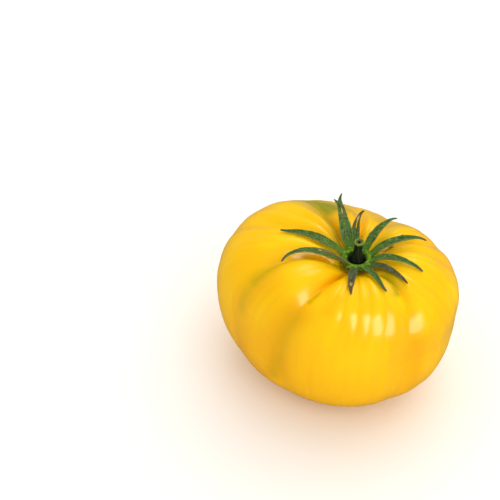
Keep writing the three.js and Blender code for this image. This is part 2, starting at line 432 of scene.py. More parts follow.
class Leaf(Enum):
    """The three looks that a sepal may have, each named after a slot of the record."""

    FRESH = "sepal_green"
    DARK = "sepal_dark"
    DRY = "sepal_dry"

    def finish(self) -> LeafFinish:
        """Gives the finish of this look."""
        if self is Leaf.DARK:
            return LeafFinish(
                "sepal_withering", body=colour(70, 80, 46), dark=colour(36, 42, 30),
                vein=colour(112, 120, 76), tip=colour(58, 56, 48), root=colour(74, 100, 28),
            )
        if self is Leaf.DRY:
            return LeafFinish(
                "sepal_dried", body=colour(110, 112, 50), dark=colour(70, 74, 30),
                vein=colour(150, 144, 84), tip=colour(190, 160, 104), root=colour(84, 106, 30),
            )
        return LeafFinish("sepal_leaf")


# ---- Meshes ----


def to_mesh(name: str, bm: bmesh.types.BMesh) -> bpy.types.Mesh:
    """Turns a bmesh, which is freed, into a smooth mesh."""
    mesh = bpy.data.meshes.new(name)
    bm.to_mesh(mesh)
    bm.free()
    mesh.polygons.foreach_set("use_smooth", np.ones(len(mesh.polygons), dtype=bool))
    return mesh


def corners(mesh: bpy.types.Mesh) -> np.ndarray:
    """Reads a mesh's vertices as rows of x, y and z."""
    flat = np.empty(len(mesh.vertices) * 3)
    mesh.vertices.foreach_get("co", flat)
    return flat.reshape(-1, 3)


def move(mesh: bpy.types.Mesh, places: np.ndarray) -> None:
    """Moves a mesh's vertices to the places given, in metres."""
    mesh.vertices.foreach_set("co", places.ravel())
    mesh.update()


def store(mesh: bpy.types.Mesh, name: str, values: np.ndarray) -> None:
    """Stores numbers or vectors on a mesh's vertices, for its material to read.

    Args:
        mesh: the mesh.
        name: the attribute's name.
        values: one number, or one row of three, for each vertex.
    """
    kind, key = ("FLOAT", "value") if values.ndim == 1 else ("FLOAT_VECTOR", "vector")
    attribute = mesh.attributes.new(name, kind, "POINT")
    attribute.data.foreach_set(key, values.astype(np.float32).ravel())


def lathe(outline: list[Span], steps: int) -> bmesh.types.BMesh:
    """Spins an outline round +Z into a closed solid.

    Args:
        outline: radii and heights, from the axis round to the axis.
        steps: how many steps the turn has.

    Returns:
        The bmesh, its faces pointing out.
    """
    bm = bmesh.new()
    chain = [bm.verts.new((radius, 0, height)) for radius, height in outline]
    edges = [bm.edges.new(pair) for pair in zip(chain, chain[1:])]
    bmesh.ops.spin(
        bm, geom=chain + edges, cent=(0, 0, 0), axis=UP, dvec=(0, 0, 0),
        angle=2 * math.pi, steps=steps, use_merge=True, use_duplicate=False,
    )
    bmesh.ops.remove_doubles(bm, verts=bm.verts, dist=1e-7)
    bmesh.ops.recalc_face_normals(bm, faces=bm.faces)
    return bm


def rounded(outline: list[Span], cuts: int) -> list[Span]:
    """Runs a smooth curve through an outline's points.

    Args:
        outline: the points, each a radius and a height.
        cuts: how many steps there are between two points.

    Returns:
        The finer outline, whose radii are never below zero.
    """
    points = np.array([outline[0], *outline, outline[-1]], dtype=float)
    fine = []
    for before, start, end, after in zip(points, points[1:], points[2:], points[3:]):
        for t in np.arange(cuts) / cuts:
            bend = 2 * start + (end - before) * t + (2 * before - 5 * start + 4 * end - after) * t**2
            fine.append((bend + (3 * start - before - 3 * end + after) * t**3) / 2)
    fine.append(points[-1])
    return [(max(float(radius), 0.0), float(height)) for radius, height in fine]


def tie(
    name: str, mesh: bpy.types.Mesh, material: bpy.types.Material, node: str
) -> bpy.types.Object:
    """Makes a mesh a piece of the tomato, in place of its plain node.

    Args:
        name: the piece's name.
        mesh: its mesh, in the row frame.
        material: its finish.
        node: the node that it stands for.

    Returns:
        The new object.
    """
    piece = put(name, mesh)
    mesh.materials.append(material)
    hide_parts(node)
    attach(piece, BODY)
    log.info("%s: %d faces, for %s", name, len(mesh.polygons), node)
    return piece


# ---- The fruit ----


@dataclass(frozen=True)
class Furrow:
    """A valley between two ribs, which runs from the stem down the side.

    Its azimuth is that beside the stem, and it has drifted round by the waist. Its depth in
    millimetres and half-width in degrees are those at the shoulder, and waist is the share of the
    depth that is left at the waist, or above 1 where it grows. A depth below zero makes a swelling.
    """

    azimuth: float
    drift: float
    depth: float
    width: float
    waist: float


@dataclass(frozen=True)
class Tint:
    """A soft patch of colour on the skin, drawn out along a line from one place to another.

    Its start and end are polar angles and azimuths, and its half-width is in millimetres.
    """

    start: Span
    end: Span
    width: float
    strength: float


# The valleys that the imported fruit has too. The last four are narrower here.
MAIN_FURROWS = (
    Furrow(-121, 0, 6.5, 9, 0.32),
    Furrow(-175, 18, 7.5, 9, 0.22),
    Furrow(146, 6, 3.5, 8, 0.3),
    Furrow(131, 0, 1.5, 6, 0.3),
    Furrow(112, -7, 6.5, 9, 0.12),
    Furrow(78, 0, 4, 7, 0.2),
    Furrow(55, 3, 4, 8, 0.2),
    Furrow(19, 0, 4.5, 7, 0.2),
    Furrow(5, -6, 2.5, 8, 0.3),
    Furrow(-31, -6, 2.5, 8, 0.3),
    Furrow(-52, -8, 4, 8, 0.35),
    Furrow(-71, -2, 1.1, 2.2, 0.15),
    Furrow(-82, 0, 1.1, 2.6, 0.3),
    Furrow(-91, 3, 1.3, 3, 0.3),
    Furrow(-100, 4, 1.3, 2.6, 0.3),
)
# Broad swellings and hollows, which make the ribs uneven.
SWELLS = (
    Furrow(14, 0, -2.0, 16, 0.5),
    Furrow(34, 0, -1.2, 8, 0.5),
    Furrow(54, 2, 1.4, 6, 0.8),
    Furrow(84, 0, 0.8, 6, 0.8),
    Furrow(148, 0, 0.8, 15, 0.8),
    Furrow(-172, 0, -0.1, 14, 7),
    Furrow(-42, 0, -0.1, 12, 18),
    Furrow(124, 0, -2.0, 15, 0.5),
    Furrow(-165, 0, 0.1, 18, 4),
    Furrow(-128, 0, -0.1, 16, 11),
    Furrow(-52, 0, -0.1, 13, 7),
)
# Creases in the ribs and the valleys.
FINE_FURROWS = (
    Furrow(-121, 0, 0.9, 1.8, 0.1),
    Furrow(-64, -1, 0.5, 1.6, 0.8),
    Furrow(-66, -7, 0.3, 1.0, 1.0),
    Furrow(-52, -8, 0.8, 2.2, 1.0),
    Furrow(-106, 1, 0.5, 2.0, 0.7),
    Furrow(-42, -4, 0.6, 2.5, 0.6),
    Furrow(-20, -5, 0.7, 3.0, 0.5),
    Furrow(-8, -4, 0.5, 3.0, 0.4),
    Furrow(32, 2, 0.6, 3.0, 0.5),
    Furrow(66, 2, 0.7, 3.0, 0.5),
    Furrow(92, -2, 0.7, 3.0, 0.4),
    Furrow(160, 8, 0.8, 3.5, 0.5),
    Furrow(-145, 8, 0.3, 3.0, 0.6),
)
GREEN_TINTS = (
    Tint((20, -176), (42, -161), 2.4, 0.35),
    Tint((42, -161), (62, -156), 3.4, 0.5),
    Tint((62, -156), (82, -152), 3.6, 0.28),
    Tint((60, 106), (36, 100), 6.0, 1.0),
    Tint((44, 108), (22, 112), 1.6, 0.6),
    Tint((22, 112), (9, 122), 1.4, 0.6),
    Tint((14, -48), (30, -59), 2.2, 0.7),
    Tint((38, -119), (50, -119), 0.9, 0.6),
    Tint((66, -121), (92, -123), 4.0, 0.22),
    Tint((92, -123), (112, -127), 3.5, 0.34),
    Tint((12, 25), (30, 21), 2.0, 0.25),
    Tint((30, 60), (60, 58), 3.5, 0.3),
)
# Painted shade: deeper amber patches along the valleys and below the waist.
PAINTED_SHADE_TINTS = (
    Tint((62, -122), (104, -124), 9.0, 0.5),
    Tint((48, -146), (74, -150), 7.0, 0.3),
    Tint((76, -56), (112, -54), 3.0, 0.4),
    Tint((36, -104), (52, -106), 3.0, 0.3),
    Tint((96, -150), (118, -140), 9.0, 0.3),
)
CORK_TINTS = (
    Tint((6, 118), (16, 112), 1.6, 1.0),
    Tint((5, 84), (13, 79), 1.0, 0.9),
    Tint((7, 22), (15, 19), 1.4, 0.9),
    Tint((6, -128), (10, -124), 0.8, 0.5),
    Tint((34, -121), (39, -121), 0.3, 0.6),
)


@dataclass(frozen=True)
class Net:
    """Where the fruit's vertices lie, by their polar angles and azimuths in radians."""

    polar: np.ndarray
    azimuth: np.ndarray

    @property
    def angle(self) -> np.ndarray:
        """Gives the polar angles in degrees."""
        return np.degrees(self.polar)


@dataclass
class Fruit:
    """The tomato itself, one piece of flesh and skin from the dimple to the blossom scar."""

    middle: Vector
    waist_radius: float = 47.9
    waist_height: float = 39.6
    waist_oval: float = 3.3
    oval_azimuth: float = 136
    crown_height: float = 68.6
    crown_lean: float = 5.8
    low_side_azimuth: float = 50
    crown_fullness: float = 2.65
    base_fullness: float = 2.33
    stem_end: Span = (7.3, -8)
    offset_ease: float = 1.25
    dimple_depth: float = 11.7
    dimple_radius: float = 13
    foot_radius: float = 14
    scar_radius: float = 4
    scar_depth: float = 1
    scar_pleat: float = 0.12
    scar_pleats: int = 9
    scar_cork: Span = (0.6, 0.9)
    low_skin: Span = (70, 120)
    furrow_edge: float = 1.3
    furrow_spread: float = 1.6
    furrow_drift: Span = (20, 66)
    furrow_start: Span = (2, 16)
    furrow_waist: Span = (22, 80)
    furrow_end: Span = (95, 165)
    segments: int = 560
    rings: int = 168
    foot_share: float = 0.93
    swell: float = 0.45
    wrinkle: float = 0.32
    streak: float = 0.1

    def furrow_depth(self, net: Net, furrows: tuple[Furrow, ...]) -> np.ndarray:
        """Adds up the furrows' depths over the skin.

        Args:
            net: the vertices.
            furrows: the furrows to add up.

        Returns:
            Depths in millimetres.
        """
        angle = net.angle
        to_waist = eased(angle, self.furrow_waist)
        spread = 1 + (self.furrow_spread - 1) * to_waist
        depth = np.zeros_like(angle)
        for furrow in furrows:
            line = furrow.azimuth + furrow.drift * eased(angle, self.furrow_drift)
            away = np.abs(turned_to(np.degrees(net.azimuth) - line))
            section = np.exp(-((away / (furrow.width * spread)) ** self.furrow_edge))
            depth += furrow.depth * (1 + (furrow.waist - 1) * to_waist) * section
        return depth * eased(angle, self.furrow_start) * (1 - eased(angle, self.furrow_end))

    def skin(self, net: Net, depth: np.ndarray) -> np.ndarray:
        """Lays the skin over its superellipse, oval, leaning and dimpled, and sinks it by a depth.

        Args:
            net: the vertices.
            depth: how far the skin lies inside the crests, in millimetres.

        Returns:
            Rows of x, y and z in millimetres, from the fruit's own middle.
        """
        azimuth = net.azimuth
        sine, rise = np.sin(net.polar), np.abs(np.cos(net.polar))
        waist = self.waist_radius + self.waist_oval * np.cos(2 * (azimuth - math.radians(self.oval_azimuth)))
        upper = net.polar < math.pi / 2
        radius = np.where(
            upper,
            waist * sine ** (2 / self.crown_fullness),
            self.foot_radius + (waist - self.foot_radius) * sine ** (2 / self.base_fullness),
        )
        lean = self.crown_lean * 1.5 * math.sqrt(3) * sine**2 * rise  # whose peak is crown_lean
        lean = lean * np.cos(azimuth - math.radians(self.low_side_azimuth))
        dimple = self.dimple_depth * np.exp(-((radius / self.dimple_radius) ** 2))
        rise_up, rise_down = rise ** (2 / self.crown_fullness), rise ** (2 / self.base_fullness)
        crown = self.waist_height + (self.crown_height - self.waist_height) * rise_up
        offset = np.where(upper, rise**self.offset_ease, 0)
        places = np.stack(
            [
                self.stem_end[0] * offset + radius * np.cos(azimuth),
                self.stem_end[1] * offset + radius * np.sin(azimuth),
                np.where(upper, crown - lean - dimple, self.waist_height * (1 - rise_down)),
            ],
            axis=-1,
        )
        core = np.array([self.stem_end[0] / 2, self.stem_end[1] / 2, self.crown_height / 2])
        inwards = core - places
        inwards /= np.linalg.norm(inwards, axis=-1, keepdims=True)
        return places + inwards * depth[:, None]

    def unevenness(self, net: Net) -> np.ndarray:
        """Gives the small swellings, puckers and streaks of grown skin.

        Args:
            net: the vertices.

        Returns:
            Depths in millimetres, above or below zero.
        """
        angle = net.angle
        puckers = np.exp(-(((angle - 12) / 11) ** 2))
        ribs = eased(angle, (14, 40)) * (1 - eased(angle, (70, 105)))
        depth = np.empty_like(angle)
        for i, (p, a) in enumerate(zip(net.polar, net.azimuth)):
            ring = Vector((math.cos(a), math.sin(a), 0))
            broad = noise.noise(ring * 1.6 * math.sin(p) + UP * (math.cos(p) * 1.6 + 7))
            pucker = noise.noise(ring * 7 + UP * (p * 1.5 + 3))
            fine = noise.noise(ring * 13 + UP * (p * 0.7 + 11))
            depth[i] = self.swell * broad + self.wrinkle * puckers[i] * pucker + self.streak * ribs[i] * fine
        return depth * np.minimum(eased(angle, self.furrow_start), 1 - eased(angle, (150, 175)))

    def underside(self, places: np.ndarray, share: np.ndarray, azimuth: np.ndarray) -> np.ndarray:
        """Draws the flat foot in to the sunken, puckered blossom scar.

        Args:
            places: the skin's places in millimetres.
            share: how far each vertex is from the foot's edge, at 0, to the scar's middle, at 1.
            azimuth: azimuths in radians.

        Returns:
            The places with the foot's vertices moved.
        """
        inside = share > 0
        radius = self.foot_radius * (1 - share[inside])
        sunk = np.exp(-((radius / self.scar_radius) ** 2))
        pleats = self.scar_pleat * (1 + np.cos(self.scar_pleats * azimuth[inside]))
        places[inside, 0] = radius * np.cos(azimuth[inside])
        places[inside, 1] = radius * np.sin(azimuth[inside])
        places[inside, 2] = (self.scar_depth + pleats * radius / self.scar_radius) * sunk
        return places

    def tinted(self, net: Net, tints: tuple[Tint, ...]) -> np.ndarray:
        """Adds up soft patches of colour.

        Args:
            net: the vertices.
            tints: the patches.

        Returns:
            How strong the colour is at each vertex, from 0 to 1.
        """
        total = np.zeros_like(net.polar)
        around = self.waist_radius * np.sin(net.polar)
        for tint in tints:
            start, end = np.radians(tint.start), np.radians(tint.end)
            down, round_ = end[0] - start[0], end[1] - start[1]
            mean = self.waist_radius * math.sin((start[0] + end[0]) / 2)
            long2 = (self.waist_radius * down) ** 2 + (mean * round_) ** 2
            aside = np.radians(turned_to(np.degrees(net.azimuth - start[1])))
            fall = self.waist_radius * (net.polar - start[0])
            along = (fall * self.waist_radius * down + aside * mean * mean * round_) / long2
            along = np.clip(along, 0, 1)
            gap = np.hypot(fall - self.waist_radius * down * along, (aside - round_ * along) * around)
            total = np.maximum(total, tint.strength * np.exp(-((gap / tint.width) ** 2)))
        return total

    def build(self) -> bpy.types.Mesh:
        """Makes the fruit from a sphere whose vertices are laid over the skin, and stores its tints."""
        bm = bmesh.new()
        bmesh.ops.create_uvsphere(bm, u_segments=self.segments, v_segments=self.rings, radius=1)
        mesh = to_mesh("tomato_fruit", bm)
        sphere = corners(mesh)
        azimuth = np.arctan2(sphere[:, 1], sphere[:, 0])
        row = np.arccos(np.clip(sphere[:, 2], -1, 1)) / (math.pi * self.foot_share)
        net = Net(math.pi * np.minimum(row, 1), azimuth)
        foot = np.clip((row - 1) * self.foot_share / (1 - self.foot_share), 0, 1)
        valleys, creases, swells = (
            self.furrow_depth(net, furrows) for furrows in (MAIN_FURROWS, FINE_FURROWS, SWELLS)
        )
        places = self.skin(net, valleys + creases + swells + self.unevenness(net))
        places = self.underside(places, foot, azimuth) * MM + np.array(self.middle)
        move(mesh, places)
        # The furrows' depth, which the skin's material turns into painted shade.
        store(mesh, "furrow", np.clip(valleys / 7 + creases / 3, 0, 1))
        store(mesh, "low", eased(net.angle, self.low_skin))
        painted_shade_amber, green, cork = (self.tinted(net, tints) for tints in (PAINTED_SHADE_TINTS, GREEN_TINTS, CORK_TINTS))
        # Painted shade in patches, for the skin's material.
        store(mesh, "painted_shade_amber", painted_shade_amber)
        store(mesh, "green", green)
        store(mesh, "cork", np.maximum(cork, eased(foot, self.scar_cork)))
        store(mesh, "meridian", np.stack([np.cos(azimuth), np.sin(azimuth), net.polar], axis=-1))
        return mesh

    def dress(self) -> BVHTree:
        """Builds the fruit in its skin, and gives its faces as a tree for what stands over them."""
        mesh = self.build()
        tie("tomato_fruit", mesh, SkinFinish().material(), "fruit")
        faces = [tuple(polygon.vertices) for polygon in mesh.polygons]
        return BVHTree.FromPolygons([vertex.co for vertex in mesh.vertices], faces)


# ---- The calyx and the stem ----


@dataclass(frozen=True)
class Tooth:
    """A point on a sepal's margin: where, on which side, how far out and forwards, and how broad."""

    along: float
    side: int
    length: float
    lean: float
    breadth: float


@dataclass(frozen=True)
class DryPatch:
    """A dried patch of a sepal, in shares of its length and half-width."""

    along: float
    across: float
    length: float
    width: float
    strength: float


@dataclass(frozen=True)
class Sepal:
    """One blade of the calyx.

    root is the azimuth at the cup. mid and tip are places on the midrib: an azimuth and a distance
    from the stem, and a height above the cup's rim. roll tips the blade on its side, hook is how
    far its end curls sideways and up, and a slit runs from one share of the length to another and
    has a width. Teeth and dry patches belong to some blades only.
    """

    node: str
    root: float
    mid: Triple
    tip: Triple
    width: float
    look: Leaf = Leaf.FRESH
    roll: float = 0
    twist: float = 0
    hook: Span = (0, 0)
    slit: Triple | None = None
    teeth: tuple[Tooth, ...] = ()
    dry: tuple[DryPatch, ...] = ()


SEPALS = (
    Sepal(
        "sepal_back_left", 150, (153, 19.5, 3.1), (158, 32, 2.5), 3.8, twist=-14, hook=(-0.4, 0.5),
        teeth=(
            Tooth(0.62, 1, 0.35, 0.5, 0.02), Tooth(0.7, 1, 0.4, 0.5, 0.02), Tooth(0.46, 1, 0.25, 0.4, 0.02),
        ),
    ),
    Sepal(
        "sepal_back_tall", 118, (110, 14, 7), (107, 23.5, 13), 5.2, twist=8, hook=(-1.6, 0.4),
        teeth=(Tooth(0.82, 1, 1.5, 2.4, 0.025),),
        dry=(DryPatch(0.68, -0.05, 0.09, 0.26, 1.0), DryPatch(0.75, 0.0, 0.06, 0.3, 0.35)),
    ),
    Sepal(
        "sepal_back_split", 88, (88, 14, 4), (80, 19, 7.8), 3.0, hook=(-0.5, 0.1), slit=(0.42, 0.94, 1.35),
        dry=(DryPatch(0.7, 0.0, 0.17, 0.8, 1.0), DryPatch(0.85, 0.0, 0.15, 0.9, 0.5)),
    ),
    Sepal(
        "sepal_back_right", 52, (48, 14, 5.3), (44, 22.5, 6.7), 3.8, twist=-10, hook=(-0.5, -0.3),
        dry=(DryPatch(1.0, 0.0, 0.05, 1.5, 0.4),),
    ),
    Sepal(
        "sepal_right_long", 18, (13, 16, 5.2), (12, 28, 4.2), 4.0, twist=10, hook=(-0.9, -0.3),
        teeth=(Tooth(0.6, 1, 0.5, 0.6, 0.018),),
    ),
    Sepal("sepal_right_drooping", -19, (-20, 15, 3.7), (-23, 27, 2.1), 3.6, twist=6, hook=(0.1, -0.9)),
    Sepal(
        "sepal_right_dark", -46, (-41, 15.5, 2.3), (-46, 26, 2.8), 3.0, Leaf.DARK, twist=-6, hook=(-0.3, 0.4),
        dry=(DryPatch(0.85, -0.6, 0.12, 0.5, 0.25),),
    ),
    Sepal("sepal_front_slender", -74, (-70, 15.5, 3.7), (-70, 26, 4.1), 2.8, twist=5, hook=(0.5, 0.2)),
    Sepal(
        "sepal_front_short", -101, (-101, 17, 3.5), (-99, 26.5, 4.4), 3.4, Leaf.DARK, slit=(0.56, 0.86, 1.2),
        teeth=(Tooth(0.74, -1, 0.5, 0.8, 0.02),),
        dry=(DryPatch(0.7, 0.0, 0.1, 0.8, 1.0),),
    ),
    Sepal(
        "sepal_left_curled", -128, (-152, 10.5, 4.6), (-163, 16.5, 8), 2.2, Leaf.DRY, roll=60,
        hook=(0.3, -0.2),
        dry=(DryPatch(0.95, 0.0, 0.12, 1.5, 0.9), DryPatch(0.6, 0.4, 0.2, 0.4, 0.3)),
    ),
    Sepal("sepal_left_drooping", -158, (-173, 19.5, 5.1), (-167, 31, 4.5), 4.0, twist=12, hook=(0.2, -0.9)),
)


@dataclass(frozen=True)
class Seat:
    """Where the calyx sits: its axis on the plan, its rim's height and the skin round it."""

    axis: Vector
    rim: float
    skin: BVHTree

    def place(self, azimuth: float, reach: float, height: float) -> Vector:
        """Gives a place beside the stem.

        Args:
            azimuth: in degrees.
            reach: the distance from the axis in millimetres.
            height: the height above the rim in millimetres.

        Returns:
            The place in metres.
        """
        return self.axis + heading(azimuth) * reach * MM + UP * (self.rim + height * MM)

    def ground(self, place: Vector) -> float:
        """Gives the skin's height under a place, or zero where there is none."""
        hit = self.skin.ray_cast(Vector((place.x, place.y, 1)), -UP)[0]
        return hit.z if hit else 0.0


@dataclass
class Calyx:
    """The star of sepals and the fleshy ring that they grow from."""

    seat: Seat
    cup_radius: float = 6.6
    cup_height: float = 4.4
    cup_foot_radius: float = 3.4
    hollow_radius: float = 4.0
    hollow_depth: float = 2.4
    cup_steps: int = 132
    lobe_reach: float = 0.9
    lobe_half_angle: float = 11
    notch_depth: float = 0.7
    root_width: float = 2.9
    root_drop: float = 1.0
    root_overlap: float = 0.9
    neck: float = 0.2
    broadest: float = 0.3
    tip_width: float = 0.5
    thickness: float = 0.5
    keel: float = 0.55
    groove: float = 0.16
    side_vein: float = 0.07
    ripple: float = 0.35
    margin_wear: float = 0.1
    width_wander: float = 0.12
    roll_end: float = 0.3
    hook_start: float = 0.82
    lift: float = 0.3
    lift_start: float = 0.16
    steps: int = 64
    columns: int = 14

    def cup_mesh(self) -> bpy.types.Mesh:
        """Makes the ring, a turned shape whose lip swells where each sepal leaves it."""
        height, floor = self.cup_height, self.cup_height - self.hollow_depth
        outline = [
            (0, 0.1), (self.cup_foot_radius, 0), (self.cup_foot_radius + 2.2, height * 0.3),
            (self.cup_radius, height * 0.6), (self.cup_radius, height * 0.86),
            ((self.cup_radius + self.hollow_radius) / 2, height), (self.hollow_radius, height * 0.86),
            (self.hollow_radius * 0.86, floor), (self.hollow_radius * 0.5, floor - 0.5), (0, floor - 0.5),
        ]
        mesh = to_mesh("tomato_calyx_cup", lathe(rounded(outline, 5), self.cup_steps))
        places = corners(mesh)
        radius = np.hypot(places[:, 0], places[:, 1])
        azimuth = np.degrees(np.arctan2(places[:, 1], places[:, 0]))
        lobes = np.zeros_like(radius)
        for sepal in SEPALS:
            lobes += np.exp(-((turned_to(azimuth - sepal.root) / self.lobe_half_angle) ** 2))
        lobes = np.clip(lobes, 0, 1)
        lip = eased(places[:, 2], (height * 0.45, height * 0.9))
        lip *= eased(radius, (self.hollow_radius * 0.6, self.cup_radius - 1))
        stretch = 1 + lip * (self.lobe_reach * lobes - 0.3) / self.cup_radius
        rough = [noise.noise(Vector(place) * 0.9) for place in places]
        # Where the painted shade of the hollow lies.
        hollow_shade = eased(self.hollow_radius + 0.2 - radius, (0, 0.9)) * eased(places[:, 2], (0.5, 1.0))
        places[:, :2] *= (stretch + 0.03 * lip * rough)[:, None]
        places[:, 2] += lip * (0.25 * np.array(rough) - self.notch_depth * (1 - lobes))
        move(mesh, places * MM + np.array(self.seat.place(0, 0, -height)))
        store(mesh, "hollow_shade", hollow_shade)
        return mesh

    def half_width(self, sepal: Sepal, along: float) -> float:
        """Gives half of a blade's width at a share of its length, in millimetres."""
        root = min(self.root_width, sepal.width)
        if along < self.broadest:
            return (root + (sepal.width - root) * eased(along, (0, self.broadest))) / 2
        fall = ((along - self.broadest) / (1 - self.broadest)) ** 1.3
        return (sepal.width + (self.tip_width - sepal.width) * fall) / 2

    def midrib(self, sepal: Sepal, along: float) -> tuple[Vector, Vector]:
        """Follows a blade's midrib.

        Args:
            sepal: the blade.
            along: the share of its length.

        Returns:
            The place on the midrib and the direction in which it runs there.
        """
        root = self.seat.place(sepal.root, self.cup_radius - self.root_overlap, -self.root_drop)
        mid, tip = self.seat.place(*sepal.mid), self.seat.place(*sepal.tip)
        bend = 2 * mid - root / 2 - tip / 2
        back = 1 - along
        place = root * back * back + bend * 2 * back * along + tip * along * along
        run = (bend - root) * back + (tip - bend) * along
        outwards = self.seat.place(sepal.root, 1, 0) - self.seat.place(sepal.root, 0, 0)
        run = outwards.normalized().lerp(run.normalized(), eased(along, (0, self.neck)))
        return place, run.normalized()

    def blade_mesh(self, sepal: Sepal, seed: int) -> bpy.types.Mesh:
        """Makes a blade from a grid laid along its midrib.

        Args:
            sepal: the blade.
            seed: what makes its unevenness its own.

        Returns:
            The mesh, one skin thick, with what its material reads.
        """
        bm = bmesh.new()
        bmesh.ops.create_grid(bm, x_segments=self.steps, y_segments=self.columns, size=0.5)
        if sepal.slit:
            self.open_slit(bm, sepal)
        mesh = to_mesh("tomato_" + sepal.node, bm)
        net = corners(mesh)
        along, across = net[:, 0] + 0.5, net[:, 1] * 2
        places = np.array([self.blade_point(sepal, seed, t, c) for t, c in zip(along, across)])
        move(mesh, places)
        dry = np.zeros_like(along)
        for patch in sepal.dry:
            away = ((along - patch.along) / patch.length) ** 2 + ((across - patch.across) / patch.width) ** 2
            dry = np.maximum(dry, patch.strength * np.exp(-away))
        if sepal.slit:
            within = eased(along, (sepal.slit[0] - 0.08, sepal.slit[0] + 0.08))
            dry = np.maximum(dry, 0.42 * within)
        veins = np.exp(-((across / 0.14) ** 2)) + 0.6 * np.exp(-(((np.abs(across) - 0.48) / 0.12) ** 2))
        store(mesh, "along", along)
        store(mesh, "across", across)
        store(mesh, "dry", np.clip(dry, 0, 1))
        store(mesh, "vein", np.clip(veins * (1 - along), 0, 1))
        store(mesh, "blade", np.stack([along * 2 + seed, across * 2.5, across * 0], axis=-1))
        return mesh

    def open_slit(self, bm: bmesh.types.BMesh, sepal: Sepal) -> None:
        """Parts a blade's grid along its middle, over the slit's length.

        Args:
            bm: the grid, along x from -0.5 to 0.5.
            sepal: the blade, which has a slit.
        """
        start, end, gap = sepal.slit
        level = 0.25 / self.columns
        seam = [
            edge for edge in bm.edges
            if all(abs(v.co.y) < level and start < v.co.x + 0.5 < end for v in edge.verts)
        ]
        bmesh.ops.split_edges(bm, edges=seam)
        for vertex in bm.verts:
            along = vertex.co.x + 0.5
            if abs(vertex.co.y) < level and vertex.is_boundary and start < along < end:
                side = 1 if sum(face.calc_center_median().y for face in vertex.link_faces) > 0 else -1
                parted = math.sin(math.pi * (along - start) / (end - start)) ** 0.7
                vertex.co.y = side * gap * parted / 4

    def blade_point(self, sepal: Sepal, seed: int, along: float, across: float) -> Vector:
        """Places one vertex of a blade.

        Args:
            sepal: the blade.
            seed: what makes its unevenness its own.
            along: the share of the length.
            across: the place across it, from -1 to 1, where 1 is the left margin seen from the cup.

        Returns:
            The place in metres.
        """
        place, run = self.midrib(sepal, along)
        side = UP.cross(run).normalized()
        tilt = sepal.roll * eased(along, (0, self.roll_end)) + sepal.twist * along
        side.rotate(Quaternion(run, math.radians(tilt)))
        up = run.cross(side)
        ripple = noise.noise(Vector((along * 5, across * 0.7, seed * 3.7)))
        edge = noise.noise(Vector((along * 22, seed * 5.1 + (2 if across > 0 else 0), 0)))
        half = self.half_width(sepal, along) * (1 + self.margin_wear * edge * abs(across) ** 3)
        half *= 1 + self.width_wander * noise.noise(Vector((along * 4, seed * 2.3, 9)))
        shift = across * half
        forward = 0.0
        for tooth in sepal.teeth:
            near = math.exp(-(((along - tooth.along) / tooth.breadth) ** 2))
            reach = max(tooth.side * across - 0.25, 0) / 0.75
            shift += tooth.side * tooth.length * near * reach**1.5
            forward += tooth.lean * near * reach**1.5
        curl = max(along - self.hook_start, 0) / (1 - self.hook_start)
        shift += sepal.hook[0] * curl * curl
        wide = half / (sepal.width / 2)
        height = self.keel * across * across * wide + sepal.hook[1] * curl * curl
        height -= self.groove * math.exp(-((across / 0.13) ** 2)) * wide
        height += self.side_vein * math.exp(-(((abs(across) - 0.45) / 0.12) ** 2)) * wide
        height += self.ripple * ripple * abs(across) * wide
        place = place + side * shift * MM + run * forward * MM + up * height * MM
        if along > self.lift_start:
            place.z = max(place.z, self.seat.ground(place) + (self.lift + self.thickness / 2) * MM)
        return place

    def dress(self) -> None:
        """Builds the ring and the sepals and gives each its finish."""
        tie("tomato_calyx_cup", self.cup_mesh(), CupFinish().material(), "calyx_cup")
        materials = {look: look.finish().material() for look in Leaf}
        for seed, sepal in enumerate(SEPALS):
            mesh = self.blade_mesh(sepal, seed)
            piece = tie("tomato_" + sepal.node, mesh, materials[sepal.look], sepal.node)
            wall = piece.modifiers.new("wall", "SOLIDIFY")
            wall.thickness, wall.offset = self.thickness * MM, 0.0
            smooth = piece.modifiers.new("smooth", "SUBSURF")
            smooth.levels = smooth.render_levels = 1


